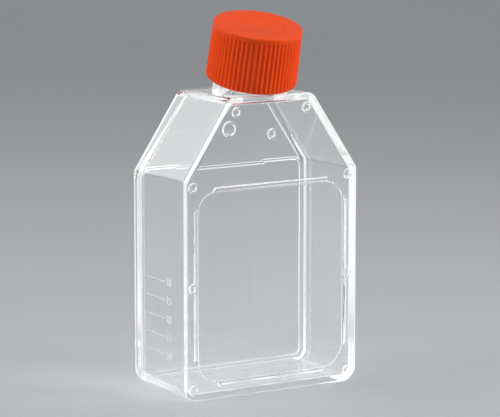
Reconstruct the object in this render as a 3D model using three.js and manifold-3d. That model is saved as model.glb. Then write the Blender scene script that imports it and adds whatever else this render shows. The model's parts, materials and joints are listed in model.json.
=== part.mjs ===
// Cell culture flask with a 25 cm2 growth area, a canted neck and a ribbed screw cap.
// Millimetres, +Z up. The flask stands on its end: the origin is the middle of that end face,
// the front panel looks along -Y, and the growth plate closes the back, along +Y.

import * as THREE from 'three';
import { mergeVertices } from 'three/addons/utils/BufferGeometryUtils.js';
import Module from 'manifold-3d';

const wasm = await Module();
wasm.setup();

// Body outline, seen from the front
const bodyWidth = 51;
const shoulderHeight = 55.4;
const roofHeight = 75.5;
const roofWidth = 24.5;
const roofLean = 0.8;
const baseCornerRadius = 4;
const shoulderCornerRadius = 2.5;
const roofCornerRadius = 3.2;

// Body depth and walls
const bodyDepth = 26.4;
const wall = 1.5;
const edgeRadius = 0.5;
const insideEdgeRadius = 0.7;

// Growth plate: a shallow tray welded to the back of the body
const plateRimDepth = 4.8;
const plateFloor = 1.3;
const plateEdgeRadius = 0.5;
const plateInsideRadius = 1.3;
const skirtWidth = 1.9;
const skirtHeight = 0.6;
const rampRise = 3;
const rampBow = 0.47;
const footBarJog = 11.7;

// Raised stacking bars and mould pips on the front panel
const barInset = 3.4;
const barShoulderInset = 1.65;
const barRise = 0.6;
const barWidth = 1;
const barBevel = 0.25;
const barCornerRadius = 5;
const barFootRadius = 6.3;
const beadWidth = 0.5;
const beadRise = 0.3;
const beadStep = 0.9;
const pipRadius = 1.4;
const pipRise = 0.3;
const pipBevel = 0.18;
const pipLand = 0.8;
const pipDishDepth = 0.18;
const pipSideInset = 2.8;
const pipFootInset = 2.9;
const pipMiddleHeight = 29;
const pipShoulderDrop = 0.9;
const pipRoofInset = 2;
const pipRoofDrop = 2.9;
const pipCentreDrop = 9;
const markRadius = 2.1;
const markDrop = 7;

// Neck
const neckCant = THREE.MathUtils.degToRad(14.2);
const neckRadius = 9.2;
const neckWall = 1.5;
const neckRearMargin = 0.5;
const collarStep = 0.3;
const collarClear = 0.6;
const lipRound = 0.4;

// Screw thread, right hand
const lead = 3.2;
const threadDepth = 0.7;
const threadCrest = 0.7;
const threadTaperTurns = 1 / 6;
const threadEndRise = 0.01;
const neckTurns = 1.5;
const capTurns = 1.25;
const capThreadInset = 1.3;

// Cap
const capHeight = 14.6;
const capWall = 1.1;
const capDraft = 0.35;
const capTop = 1.5;
const footBevel = 0.2;
const ribCount = 60;
const ribDepth = 0.35;
const ribCrest = 0.45;
const ribRoot = 0.28;
const plainRim = 1.3;
const rimRound = 0.25;
const rimLand = 4.2;
const dishDepth = 0.35;
const dimpleRadius = 3.2;
const dimpleDepth = 0.2;

// Plug seal held in the cap
const sealThickness = 1;
const plugLength = 3.5;
const plugWall = 1.2;

// Clearances, and how far joined shapes reach into each other
const runningGap = 0.3;
const capRoofGap = 0.35;
const overlap = 0.4;

// Depths, along Y
const front = -bodyDepth / 2;
const back = bodyDepth / 2;
const weldLine = back - plateRimDepth;
const window = back - skirtHeight;
const plateInside = window - plateFloor;

// Radii about the neck axis
const boreRadius = neckRadius - neckWall;
const collarRadius = neckRadius + collarStep;
const capThreadRadius = neckRadius + runningGap;
const capSeat = neckRadius + threadDepth;
const capBore = capSeat + runningGap;
const capBottomRadius = capBore + capWall + ribDepth;
const capTopRadius = capBottomRadius - capDraft;
const dishRadius = capTopRadius - rimLand;

// Where the neck axis leaves the roof, and how deep the neck is rooted below it
const neckOffset = weldLine - neckRearMargin - collarRadius / Math.cos(neckCant);
const neckFoot = new THREE.Vector3(0, neckOffset, roofHeight);
const neckSink = wall + collarRadius * Math.tan(neckCant) + overlap;

// Heights along the neck axis: the cap's foot clears the front edge of the roof
const roofEdge = (neckOffset - front - edgeRadius) * Math.sin(neckCant) + roofLean * Math.cos(neckCant);
const capBottom = roofEdge + capRoofGap;
const capCeiling = capBottom + capHeight - capTop;
const sealTop = capCeiling - runningGap;
const sealBottom = sealTop - sealThickness;
const neckLength = sealBottom - runningGap;
const collarHeight = capBottom - collarClear;
const threadFoot = lead / 2 - runningGap;
const capThreadStart = capBottom + capThreadInset;
const neckThreadStart = capThreadStart + lead / 2;
const neckThreadEnd = neckThreadStart + lead * neckTurns;

// ---------------------------------------------------------------- solids

// A closed three.js geometry as a solid for cutting and joining.
function solid(geometry) {
  const plain = geometry.clone();
  plain.deleteAttribute('normal');
  plain.deleteAttribute('uv');
  const merged = mergeVertices(plain, 1e-5);
  const index = merged.index.array;
  const triangles = [];
  for (let i = 0; i < index.length; i += 3) {
    const [a, b, c] = [index[i], index[i + 1], index[i + 2]];
    if (a !== b && b !== c && c !== a) triangles.push(a, b, c);
  }
  return new wasm.Manifold(new wasm.Mesh({
    numProp: 3,
    vertProperties: new Float32Array(merged.attributes.position.array),
    triVerts: new Uint32Array(triangles),
  }));
}

// A solid back into a three.js geometry.
function geometryOf(body) {
  const mesh = body.getMesh();
  const geometry = new THREE.BufferGeometry();
  geometry.setAttribute('position', new THREE.BufferAttribute(mesh.vertProperties, 3));
  geometry.setIndex(new THREE.BufferAttribute(mesh.triVerts, 1));
  geometry.computeVertexNormals();
  return geometry;
}

// Skins a stack of rings that all have the same number of points, and closes both ends.
// The rings run anticlockwise seen from the last ring.
function loft(rings) {
  const count = rings[0].length;
  const points = rings.flat();
  const index = [];
  for (let level = 0; level + 1 < rings.length; level += 1) {
    for (let i = 0; i < count; i += 1) {
      const a = level * count + i;
      const b = level * count + (i + 1) % count;
      index.push(a, b, b + count, a, b + count, a + count);
    }
  }
  const ends = [rings[0], rings[rings.length - 1]];
  ends.forEach((ring, end) => {
    const centre = new THREE.Vector3();
    ring.forEach((point) => centre.addScaledVector(point, 1 / count));
    const hub = points.push(centre) - 1;
    const start = end === 0 ? 0 : (rings.length - 1) * count;
    for (let i = 0; i < count; i += 1) {
      const a = start + i;
      const b = start + (i + 1) % count;
      if (end === 0) index.push(hub, b, a);
      else index.push(hub, a, b);
    }
  });
  const geometry = new THREE.BufferGeometry().setFromPoints(points);
  geometry.setIndex(index);
  return geometry;
}

// A revolve about +Z from a list of [radius, height] pairs that starts and ends on the axis.
function revolve(profile, segments = 48) {
  const points = profile.map(([radius, height]) => new THREE.Vector2(radius, height));
  return new THREE.LatheGeometry(points, segments).rotateX(Math.PI / 2);
}

// Turns a geometry made about +Z onto the canted neck axis.
function onNeck(geometry) {
  return geometry
    .rotateX(neckCant)
    .translate(neckFoot.x, neckFoot.y, neckFoot.z);
}

// ---------------------------------------------------------------- body outline

const outlineCorners = [
  { x: bodyWidth / 2, z: 0, radius: baseCornerRadius, steps: 6 },
  { x: bodyWidth / 2, z: shoulderHeight, radius: shoulderCornerRadius, steps: 3 },
  { x: roofWidth / 2, z: roofHeight, radius: roofCornerRadius, steps: 4 },
  { x: -roofWidth / 2, z: roofHeight, radius: roofCornerRadius, steps: 4 },
  { x: -bodyWidth / 2, z: shoulderHeight, radius: shoulderCornerRadius, steps: 3 },
  { x: -bodyWidth / 2, z: 0, radius: baseCornerRadius, steps: 6 },
];

// The corner of the outline moved in by `inset` from both of its edges.
function insetCorner(index, inset) {
  const total = outlineCorners.length;
  const here = outlineCorners[index];
  const before = outlineCorners[(index + total - 1) % total];
  const after = outlineCorners[(index + 1) % total];
  const arrive = new THREE.Vector2(here.x - before.x, here.z - before.z).normalize();
  const leave = new THREE.Vector2(after.x - here.x, after.z - here.z).normalize();
  const turn = arrive.x * leave.y - arrive.y * leave.x;
  const shift = leave.clone().sub(arrive).multiplyScalar(inset / turn);
  return { corner: new THREE.Vector2(here.x, here.z).add(shift), arrive, leave, turn };
}

// The rounded outline as a ring of points in the plane y, moved in by `inset`. The shoulders and
// the roof rise by roofLean from the back to the front.
function outlineRing(y, inset) {
  const lean = roofLean * (back - y) / bodyDepth;
  const ring = [];
  outlineCorners.forEach((here, index) => {
    const { corner, arrive, leave, turn } = insetCorner(index, inset);
    const radius = Math.max(here.radius - inset, insideEdgeRadius);
    const bend = Math.asin(turn);
    const reach = radius * Math.tan(bend / 2);
    const start = corner.clone().addScaledVector(arrive, -reach);
    const centre = start.clone().add(new THREE.Vector2(-arrive.y, arrive.x).multiplyScalar(radius));
    const first = Math.atan2(start.y - centre.y, start.x - centre.x);
    if (here.z > 0) centre.y += lean;
    for (let step = 0; step <= here.steps; step += 1) {
      const angle = first + bend * step / here.steps;
      const x = centre.x + radius * Math.cos(angle);
      ring.push(new THREE.Vector3(x, y, centre.y + radius * Math.sin(angle)));
    }
  });
  return ring;
}

// Rings that round an edge off, from the face in the plane `y` to the side walls.
function roundedEdge(y, inset, radius, towards, steps = 3) {
  return Array.from({ length: steps + 1 }, (_, step) => {
    const angle = (Math.PI / 2) * step / steps;
    const depth = radius * (1 - Math.cos(angle));
    return outlineRing(y + towards * depth, inset + radius * (1 - Math.sin(angle)));
  });
}

// ---------------------------------------------------------------- flask body

function bodyShell() {
  const outside = loft([
    ...roundedEdge(front, 0, edgeRadius, 1),
    outlineRing(weldLine, 0),
  ].reverse());
  const inside = loft([
    ...roundedEdge(front + wall, wall, insideEdgeRadius, 1, 2),
    outlineRing(back, wall),
  ].reverse());
  return { outside: solid(outside), inside: solid(inside) };
}

// A straight bar with bevelled sides and ends, standing out of the plane y towards -Y or +Y.
function raisedBar(fromX, fromZ, toX, toZ, width, rise, y, towards) {
  const along = new THREE.Vector2(toX - fromX, toZ - fromZ).normalize();
  const across = new THREE.Vector2(-along.y, along.x);
  const ringAt = (level, trim) => {
    const half = width / 2 - trim;
    const corners = [[fromX, fromZ, 1, -1], [toX, toZ, -1, -1], [toX, toZ, -1, 1], [fromX, fromZ, 1, 1]];
    return corners.map(([x, z, inwards, side]) => new THREE.Vector3(
      x + along.x * trim * inwards + across.x * half * side,
      level,
      z + along.y * trim * inwards + across.y * half * side,
    ));
  };
  const rings = [
    ringAt(y - towards * overlap, 0),
    ringAt(y + towards * (rise - barBevel), 0),
    ringAt(y + towards * rise, barBevel),
  ];
  return solid(loft(towards < 0 ? rings : rings.map((ring) => ring.reverse())));
}

// A thin bead in a ring with round corners, given as [x, z, radius] of each corner's centre.
function beadRing(corners, y) {
  const path = (grow, Kind) => {
    const shape = new Kind();
    corners.forEach(([x, z, radius], index) => {
      const from = index * Math.PI / 2;
      shape.absarc(x, z, radius + grow, from, from + Math.PI / 2, false);
    });
    return shape.closePath();
  };
  const ring = path(beadWidth / 2, THREE.Shape);
  ring.holes.push(path(-beadWidth / 2, THREE.Path));
  const bead = new THREE.ExtrudeGeometry(ring, {
    depth: beadRise + overlap, bevelEnabled: false, curveSegments: 6,
  });
  return solid(bead.rotateX(Math.PI / 2).translate(0, y + overlap, 0));
}

// The stacking bars: four bars round a thin bead, with short hooks that bend in to the bead.
function stackingBars() {
  const side = bodyWidth / 2 - barInset;
  const low = barInset;
  const high = shoulderHeight - barShoulderInset;
  const topReach = side - barCornerRadius - beadStep;
  const footReach = side - barFootRadius - beadStep;
  const sideFrom = low + barFootRadius + beadStep;
  const sideTo = high - barCornerRadius - beadStep;
  const bars = [
    [[-topReach, high], [topReach, high], [0, -1]],
    [[footReach, low], [-footReach, low], [0, 1]],
    [[-side, sideFrom], [-side, sideTo], [1, 0]],
    [[side, sideTo], [side, sideFrom], [-1, 0]],
  ].flatMap(([from, to, [inX, inZ]]) => {
    const [alongX, alongZ] = [-inZ * beadStep, inX * beadStep];
    const fromHook = [from[0] - alongX + inX * beadStep, from[1] - alongZ + inZ * beadStep];
    const toHook = [to[0] + alongX + inX * beadStep, to[1] + alongZ + inZ * beadStep];
    return [[from, to], [fromHook, from], [to, toHook]];
  });
  return [
    ...bars.map(([from, to]) => raisedBar(...from, ...to, barWidth, barRise, front, -1)),
    beadRing([
      [topReach, sideTo, barCornerRadius],
      [-topReach, sideTo, barCornerRadius],
      [-footReach, sideFrom, barFootRadius],
      [footReach, sideFrom, barFootRadius],
    ], front),
  ];
}

// A low round pip with a dished middle, left by an ejector pin.
function pip(x, z, radius) {
  const button = revolve([
    [0, -overlap],
    [radius, -overlap],
    [radius, pipRise - pipBevel],
    [radius - pipBevel, pipRise],
    [radius - pipLand, pipRise],
    [0, pipRise - pipDishDepth],
  ], 20);
  return solid(button.rotateX(Math.PI / 2).translate(x, front, z));
}

function pips() {
  const side = bodyWidth / 2 - pipSideInset;
  const places = [
    [side, pipFootInset],
    [side, pipMiddleHeight],
    [side, shoulderHeight - pipShoulderDrop],
    [roofWidth / 2 - pipRoofInset, roofHeight - pipRoofDrop],
  ];
  const both = places.flatMap(([x, z]) => [pip(x, z, pipRadius), pip(-x, z, pipRadius)]);
  return [
    ...both,
    pip(0, roofHeight - pipCentreDrop, pipRadius),
    pip(-roofWidth / 2, roofHeight - markDrop, markRadius),
  ];
}

// A helical ridge: its foot is buried in the wall that it grows from, and both ends taper into it.
function threadRidge(footRadius, crestRadius, start, turns) {
  const stepsPerTurn = 36;
  const steps = Math.round(stepsPerTurn * turns);
  const taper = stepsPerTurn * threadTaperTurns;
  const outwards = Math.sign(crestRadius - footRadius);
  const rings = [];
  for (let step = 0; step <= steps; step += 1) {
    const angle = (2 * Math.PI * step) / stepsPerTurn;
    const middle = start + (lead * step) / stepsPerTurn;
    const grown = Math.min(1, step / taper, (steps - step) / taper);
    const buried = footRadius - outwards * overlap;
    const crest = footRadius + (crestRadius - footRadius) * grown + outwards * threadEndRise;
    const section = [
      [buried, middle - threadFoot / 2],
      [footRadius, middle - threadFoot / 2],
      [crest, middle - threadCrest / 2],
      [crest, middle + threadCrest / 2],
      [footRadius, middle + threadFoot / 2],
      [buried, middle + threadFoot / 2],
    ];
    if (outwards < 0) section.reverse();
    rings.push(section.map(([radius, height]) => new THREE.Vector3(
      radius * Math.cos(angle), radius * Math.sin(angle), height,
    )));
  }
  return loft(rings.map((ring) => ring.reverse()));
}

function neckTube() {
  const tube = revolve([
    [0, -neckSink],
    [collarRadius, -neckSink],
    [collarRadius, collarHeight - lipRound],
    [neckRadius, collarHeight],
    [neckRadius, neckLength - lipRound],
    [neckRadius - lipRound, neckLength],
    [0, neckLength],
  ]);
  const ridge = threadRidge(neckRadius, neckRadius + threadDepth, neckThreadStart, neckTurns);
  return solid(onNeck(tube)).add(solid(onNeck(ridge)));
}

function neckBore() {
  return solid(onNeck(revolve([
    [0, -2 * neckSink],
    [boreRadius, -2 * neckSink],
    [boreRadius, neckLength - lipRound / 2],
    [boreRadius + lipRound, neckLength + lipRound],
    [0, neckLength + lipRound],
  ])));
}

function flaskBody() {
  const { outside, inside } = bodyShell();
  let body = outside.subtract(inside).add(neckTube().subtract(inside)).subtract(neckBore());
  [...stackingBars(), ...pips()].forEach((piece) => { body = body.add(piece); });
  return body;
}

// ---------------------------------------------------------------- growth plate

// A prism across the body, from corners given as [y, z].
function crossPrism(corners) {
  const shape = new THREE.Shape(corners.map(([y, z]) => new THREE.Vector2(y, z)));
  const prism = new THREE.ExtrudeGeometry(shape, { depth: bodyWidth, bevelEnabled: false });
  const turned = new THREE.Matrix4().makeBasis(
    new THREE.Vector3(0, 1, 0), new THREE.Vector3(0, 0, 1), new THREE.Vector3(1, 0, 0),
  );
  return solid(prism.translate(0, 0, -bodyWidth / 2).applyMatrix4(turned));
}

// The pouring ramp: from the shoulder up, the floor leans in towards the neck, most steeply at
// its foot. `start` is the depth where the leaning face leaves the plate, and everything behind
// it is solid.
function behindRamp(start) {
  const steps = 6;
  const top = roofHeight + roofLean;
  const face = Array.from({ length: steps + 1 }, (_, step) => {
    const climb = step / steps;
    const depth = start - rampRise * climb * (1 + rampBow * (1 - climb));
    return [depth, THREE.MathUtils.lerp(shoulderHeight, top, climb)];
  });
  return crossPrism([[back + overlap, top], [back + overlap, shoulderHeight], ...face]);
}

function growthPlate() {
  const outside = solid(loft([
    ...roundedEdge(back, 0, plateEdgeRadius, -1),
    outlineRing(weldLine, 0),
  ]));
  const inside = solid(loft([
    ...roundedEdge(plateInside, wall, plateInsideRadius, -1),
    outlineRing(weldLine - wall, wall),
  ]));
  const withinSkirt = solid(loft([
    outlineRing(back + overlap, skirtWidth),
    outlineRing(weldLine, skirtWidth),
  ]));
  const flatRecess = solid(loft([
    outlineRing(back + overlap, skirtWidth),
    outlineRing(window, skirtWidth),
  ]));
  let plate = outside
    .subtract(inside)
    .add(behindRamp(plateInside).intersect(outside))
    .subtract(flatRecess)
    .subtract(behindRamp(window).intersect(withinSkirt));
  const endX = bodyWidth / 2 - skirtWidth;
  const lapX = footBarJog + barWidth;
  const barZ = shoulderHeight;
  const low = barZ - barWidth / 2;
  [[-endX, -footBarJog, barZ], [footBarJog, endX, barZ], [-lapX, lapX, low]].forEach(([from, to, z]) => {
    plate = plate.add(raisedBar(from, z, to, z, barWidth, skirtHeight, window, 1));
  });
  return plate;
}

// ---------------------------------------------------------------- cap

// A ring of the ribbed side at a height: ribs stand out by `rise` over a round of `radius`. The
// crest takes up the share ribCrest of each rib's pitch, and the root lies ribRoot before the next.
function ribRing(radius, rise, height) {
  const phases = [[0, 1], [ribCrest, 1], [1 - ribRoot, 0]];
  const ring = [];
  for (let rib = 0; rib < ribCount; rib += 1) {
    phases.forEach(([phase, grown]) => {
      const angle = (2 * Math.PI * (rib + phase)) / ribCount;
      const reach = radius + rise * grown;
      ring.push(new THREE.Vector3(reach * Math.cos(angle), reach * Math.sin(angle), height));
    });
  }
  return ring;
}

// The side of the cap: a bevelled foot, then ribs that run up to the plain rim.
function ribbedSide() {
  const ribTop = capHeight - plainRim;
  const rootAt = (height) => THREE.MathUtils.lerp(
    capBottomRadius, capTopRadius, height / capHeight,
  ) - ribDepth;
  return loft([
    ribRing(rootAt(0) - footBevel, 0, 0),
    ribRing(rootAt(footBevel), 0, footBevel),
    ribRing(rootAt(2 * footBevel), ribDepth, 2 * footBevel),
    ribRing(rootAt(ribTop), ribDepth, ribTop),
  ]).translate(0, 0, capBottom);
}

// The plain rim and the dished top, which has a dimple in its middle.
function capCrown() {
  const foot = capHeight - plainRim - ribDepth;
  const eased = rimRound * (1 - Math.SQRT1_2);
  return revolve([
    [0, foot],
    [capTopRadius - 2 * ribDepth, foot],
    [capTopRadius, capHeight - plainRim],
    [capTopRadius, capHeight - rimRound],
    [capTopRadius - eased, capHeight - eased],
    [capTopRadius - rimRound, capHeight],
    [dishRadius + dishDepth, capHeight],
    [dishRadius, capHeight - dishDepth],
    [dimpleRadius + dimpleDepth, capHeight - dishDepth],
    [dimpleRadius, capHeight - dishDepth - dimpleDepth],
    [0, capHeight - dishDepth - dimpleDepth],
  ], ribCount).translate(0, 0, capBottom);
}

function cap() {
  const hollow = revolve([
    [0, capBottom - overlap],
    [capBore + overlap, capBottom - overlap],
    [capBore, capBottom + overlap],
    [capBore, neckThreadEnd],
    [capSeat, neckThreadEnd + runningGap],
    [capSeat, capCeiling - insideEdgeRadius],
    [capSeat - insideEdgeRadius, capCeiling],
    [0, capCeiling],
  ]);
  const ridge = threadRidge(capBore, capThreadRadius, capThreadStart, capTurns);
  return solid(onNeck(ribbedSide()))
    .add(solid(onNeck(capCrown())))
    .subtract(solid(onNeck(hollow)))
    .add(solid(onNeck(ridge)));
}

// ---------------------------------------------------------------- plug seal

function plugSeal() {
  const discRadius = capSeat - runningGap;
  const plugRadius = boreRadius - runningGap;
  const plugInside = plugRadius - plugWall;
  const plugBottom = sealBottom - plugLength;
  return solid(onNeck(revolve([
    [0, sealBottom],
    [plugInside, sealBottom],
    [plugInside, plugBottom + lipRound],
    [plugInside + lipRound, plugBottom],
    [plugRadius - lipRound, plugBottom],
    [plugRadius, plugBottom + lipRound],
    [plugRadius, sealBottom],
    [discRadius, sealBottom],
    [discRadius, sealTop - insideEdgeRadius],
    [discRadius - insideEdgeRadius, sealTop],
    [0, sealTop],
  ])));
}

// ---------------------------------------------------------------- assembly

function piece(name, body, colour, roughness) {
  const material = new THREE.MeshStandardMaterial({ color: colour, roughness, metalness: 0 });
  const mesh = new THREE.Mesh(geometryOf(body), material);
  mesh.name = name;
  return mesh;
}

const flask = new THREE.Group();
flask.name = 'cell_culture_flask';
flask.add(piece('flask_body', flaskBody(), '#e4e9ea', 0.08));
flask.add(piece('growth_plate', growthPlate(), '#e4e9ea', 0.08));
flask.add(piece('plug_seal', plugSeal(), '#f2efe6', 0.45));
flask.add(piece('cap', cap(), '#ea4a1c', 0.4));

export default flask;
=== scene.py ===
# %% [markdown]
# # A cell culture flask, modelled and lit in Blender
#
# The flask is a clear polystyrene bottle with a flat back for growing cells. It has two clear
# mouldings, a body and a growth plate welded behind it, and an orange screw cap with a soft
# plug seal inside. The imported CAD model gives every place and size here, so the first cell
# loads it and keeps its outer box.

# %% Load the CAD frame
import json
import math

import bmesh
import bpy
from mathutils import Matrix, Vector


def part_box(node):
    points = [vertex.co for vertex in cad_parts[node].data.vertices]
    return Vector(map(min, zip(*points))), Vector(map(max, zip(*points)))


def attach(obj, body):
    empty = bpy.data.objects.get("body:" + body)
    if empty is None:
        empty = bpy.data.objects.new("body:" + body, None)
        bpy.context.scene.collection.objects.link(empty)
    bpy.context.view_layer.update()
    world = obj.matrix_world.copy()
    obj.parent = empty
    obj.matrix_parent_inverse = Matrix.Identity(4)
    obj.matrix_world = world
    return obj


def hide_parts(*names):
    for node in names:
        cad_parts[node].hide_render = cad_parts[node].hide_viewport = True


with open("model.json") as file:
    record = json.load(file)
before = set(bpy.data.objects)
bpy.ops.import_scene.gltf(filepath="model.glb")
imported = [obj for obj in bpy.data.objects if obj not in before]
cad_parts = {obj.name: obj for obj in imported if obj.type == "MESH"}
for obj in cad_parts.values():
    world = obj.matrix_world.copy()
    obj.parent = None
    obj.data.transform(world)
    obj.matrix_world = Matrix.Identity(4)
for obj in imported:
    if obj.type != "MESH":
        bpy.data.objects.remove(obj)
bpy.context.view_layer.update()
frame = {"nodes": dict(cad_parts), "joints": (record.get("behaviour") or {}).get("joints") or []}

MM = 0.001

# %% [markdown]
# ## The camera
#
# A product picture of a clear box works when two of its sides show at once, so the camera
# stands to the left of the front panel and a little above it. It could be placed by eye, but
# an azimuth, an elevation and a distance say the same thing in words that are easy to change.
# A long lens keeps the upright edges parallel.

# %% Place the camera
AZIMUTH = math.radians(-30.37)
ELEVATION = math.radians(9.97)
DISTANCE = 706.1 * MM
AIM = Vector((1.4, 0, 45.3)) * MM
LENS = 197.9
SENSOR_WIDTH = 36

towards_camera = Vector((
    math.sin(AZIMUTH) * math.cos(ELEVATION),
    -math.cos(AZIMUTH) * math.cos(ELEVATION),
    math.sin(ELEVATION),
))
camera_data = bpy.data.cameras.new("camera")
camera_data.lens = LENS
camera_data.sensor_width = SENSOR_WIDTH
camera = bpy.data.objects.new("camera", camera_data)
camera.location = AIM + towards_camera * DISTANCE
camera.rotation_euler = towards_camera.to_track_quat("Z", "Y").to_euler()
bpy.context.scene.collection.objects.link(camera)
bpy.context.scene.camera = camera
print("camera at", [round(v, 3) for v in camera.location])

# %% [markdown]
# ## Sizes from the frame
#
# The growth plate covers the whole back of the flask, so its box gives the flask's width, back
# face and weld line. The flask is as deep in front of its middle as behind it. The cap's joint
# gives the neck's axis, which starts at the height of the roof's back edge, and the cap's own
# corners, measured along that axis, say where it starts and ends. Only what a box can't show is
# written as a number here.

# %% Measure the neck
turn_joint = next(joint for joint in frame["joints"] if joint["name"] == "cap_turn")
neck_foot = Vector(turn_joint["pos_m"]) / MM
neck_axis = Vector(turn_joint["axis"]).normalized()
neck_cant = math.atan2(-neck_axis.y, neck_axis.z)

# %% Measure the body
plate_low, plate_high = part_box("growth_plate")
width = (plate_high.x - plate_low.x) / MM
height = neck_foot.z
back = plate_high.y / MM
front = -back
weld = plate_low.y / MM
print(f"body {width:.1f} x {back - front:.1f} x {height:.1f} mm, weld line at y = {weld:.1f} mm")


# %% Measure the cap and the seal along the neck's axis
def along_neck(node):
    """Lowest height, highest height and widest radius of a CAD node about the neck axis, in mm."""
    heights, radii = [], []
    for vertex in frame["nodes"][node].data.vertices:
        arm = vertex.co / MM - neck_foot
        rise = arm.dot(neck_axis)
        heights.append(rise)
        radii.append((arm - neck_axis * rise).length)
    return min(heights), max(heights), max(radii)


cap_bottom, cap_top, cap_radius = along_neck("cap")
seal_low, seal_high, seal_radius = along_neck("plug_seal")
print(f"neck leans {math.degrees(neck_cant):.1f} degrees")
print(f"cap from {cap_bottom:.2f} to {cap_top:.2f} mm, radius {cap_radius:.2f} mm")
print(f"seal from {seal_low:.2f} to {seal_high:.2f} mm, radius {seal_radius:.2f} mm")

# %% [markdown]
# ## Helpers for meshes
#
# Moulded plastic is made of a few kinds of form: skins through a stack of outlines, and turned
# shapes. Each helper below works in millimetres, as a drawing does, and the last step turns
# them into metres. A skin through rings was chosen over bevelling a box, because the fillet's
# step count is then known, and clear plastic shows every facet.

# %% Turn points and faces into an object
def make_object(name, points, faces):
    mesh = bpy.data.meshes.new(name)
    mesh.from_pydata([tuple(Vector(point) * MM) for point in points], [], faces)
    mesh.validate()
    piece = bpy.data.objects.new(name, mesh)
    bpy.context.scene.collection.objects.link(piece)
    return piece


# %% Skin a stack of rings
def skin(rings, loop=False):
    """Points and faces of a closed body through rings of equal counts, with flat ends.

    With loop the last ring joins the first one, as in a torus, and there are no ends."""
    count = len(rings[0])
    points = [point for ring in rings for point in ring]
    levels = len(rings) if loop else len(rings) - 1
    faces = []
    for level in range(levels):
        here, there = level * count, (level + 1) % len(rings) * count
        for i in range(count):
            j = (i + 1) % count
            faces.append((here + i, here + j, there + j, there + i))
    if not loop:
        faces.append(tuple(reversed(range(count))))
        faces.append(tuple(range(len(points) - count, len(points))))
    return points, faces


def facing_out(piece):
    """Turns all faces outwards, whichever way the rings ran."""
    mesh = bmesh.new()
    mesh.from_mesh(piece.data)
    bmesh.ops.recalc_face_normals(mesh, faces=mesh.faces)
    if mesh.calc_volume(signed=True) < 0:
        bmesh.ops.reverse_faces(mesh, faces=mesh.faces)
    mesh.to_mesh(piece.data)
    mesh.free()
    return piece


def skinned(name, rings, loop=False):
    return facing_out(make_object(name, *skin(rings, loop)))


# %% Turn a profile about an axis
def turned_rings(profile, steps):
    """One ring for each [radius, height] pair, about +Z."""
    angles = [2 * math.pi * i / steps for i in range(steps)]
    return [
        [Vector((radius * math.cos(a), radius * math.sin(a), rise)) for a in angles]
        for radius, rise in profile
    ]


def on_neck(rings):
    """Leans rings made about +Z onto the neck axis."""
    lean = Matrix.Rotation(neck_cant, 3, "X")
    return [[lean @ Vector(point) + neck_foot for point in ring] for ring in rings]


def arc(centre, radius, start, end, steps):
    """Points on an arc, angles in degrees, anticlockwise from the first axis."""
    angles = [math.radians(start + (end - start) * i / steps) for i in range(steps + 1)]
    return [(centre[0] + radius * math.cos(a), centre[1] + radius * math.sin(a)) for a in angles]


# %% Join and cut solids
def combine(piece, tools, operation):
    """Joins or cuts piece with each tool, and removes the tools."""
    for tool in tools:
        step = piece.modifiers.new("combine", "BOOLEAN")
        step.operation = operation
        step.solver = "MANIFOLD"
        step.object = tool
        graph = bpy.context.evaluated_depsgraph_get()
        result = bpy.data.meshes.new_from_object(piece.evaluated_get(graph))
        result.materials.clear()
        piece.modifiers.clear()
        piece.data = result
        bpy.data.objects.remove(tool)
    return piece


def weld_points(piece, reach=0.0005):
    """Merges points that lie within reach mm of each other."""
    mesh = bmesh.new()
    mesh.from_mesh(piece.data)
    bmesh.ops.remove_doubles(mesh, verts=mesh.verts, dist=reach * MM)
    mesh.to_mesh(piece.data)
    mesh.free()
    return piece


# %% Shade a moulded surface
SHARP_ANGLE = 35
FLAT_FACE_WEIGHT = 90


def polish(piece, sharp=SHARP_ANGLE):
    """Smooth shading that stays flat on flat faces: edges over `sharp` degrees stay crisp."""
    piece.data.polygons.foreach_set("use_smooth", [True] * len(piece.data.polygons))
    piece.data.set_sharp_from_angle(angle=math.radians(sharp))
    normals = piece.modifiers.new("flat_faces_first", "WEIGHTED_NORMAL")
    normals.mode = "FACE_AREA"
    normals.weight = FLAT_FACE_WEIGHT
    normals.keep_sharp = True
    triangles = sum(len(face.vertices) - 2 for face in piece.data.polygons)
    loose = sum(1 for edge in edge_uses(piece) if edge != 2)
    print(f"{piece.name}: {triangles} triangles, {loose} open edges")
    return piece


def edge_uses(piece):
    """How many faces each edge has: 2 everywhere on a closed body."""
    uses = [0] * len(piece.data.edges)
    for corner in piece.data.loops:
        uses[corner.edge_index] += 1
    return uses


# %% [markdown]
# ## The outline of the body
#
# Seen from the front, the body is a rectangle whose two shoulders slope in to a narrow roof.
# One list of six corners holds that shape. Every wall, rim and recess is the same outline
# moved in by some distance, so one function makes them all, and walls keep their thickness
# round every corner. The shoulders and the roof rise a little from the back to the front, which
# lets the moulding leave its tool, so the outline's height depends on its depth.

# %% Six corners, each with its radius
SHOULDER_HEIGHT = 55.4
ROOF_WIDTH = 24.5
ROOF_LEAN = 0.8
BASE_RADIUS = 4
SHOULDER_RADIUS = 2.5
ROOF_RADIUS = 3.2
CORNERS = [
    (width / 2, 0, BASE_RADIUS),
    (width / 2, SHOULDER_HEIGHT, SHOULDER_RADIUS),
    (ROOF_WIDTH / 2, height, ROOF_RADIUS),
    (-ROOF_WIDTH / 2, height, ROOF_RADIUS),
    (-width / 2, SHOULDER_HEIGHT, SHOULDER_RADIUS),
    (-width / 2, 0, BASE_RADIUS),
]
print("shoulders at", SHOULDER_HEIGHT, "mm, roof", ROOF_WIDTH, "mm wide")

# %% The outline round the corners
CORNER_STEPS = 12
SMALLEST_RADIUS = 0.5


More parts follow.
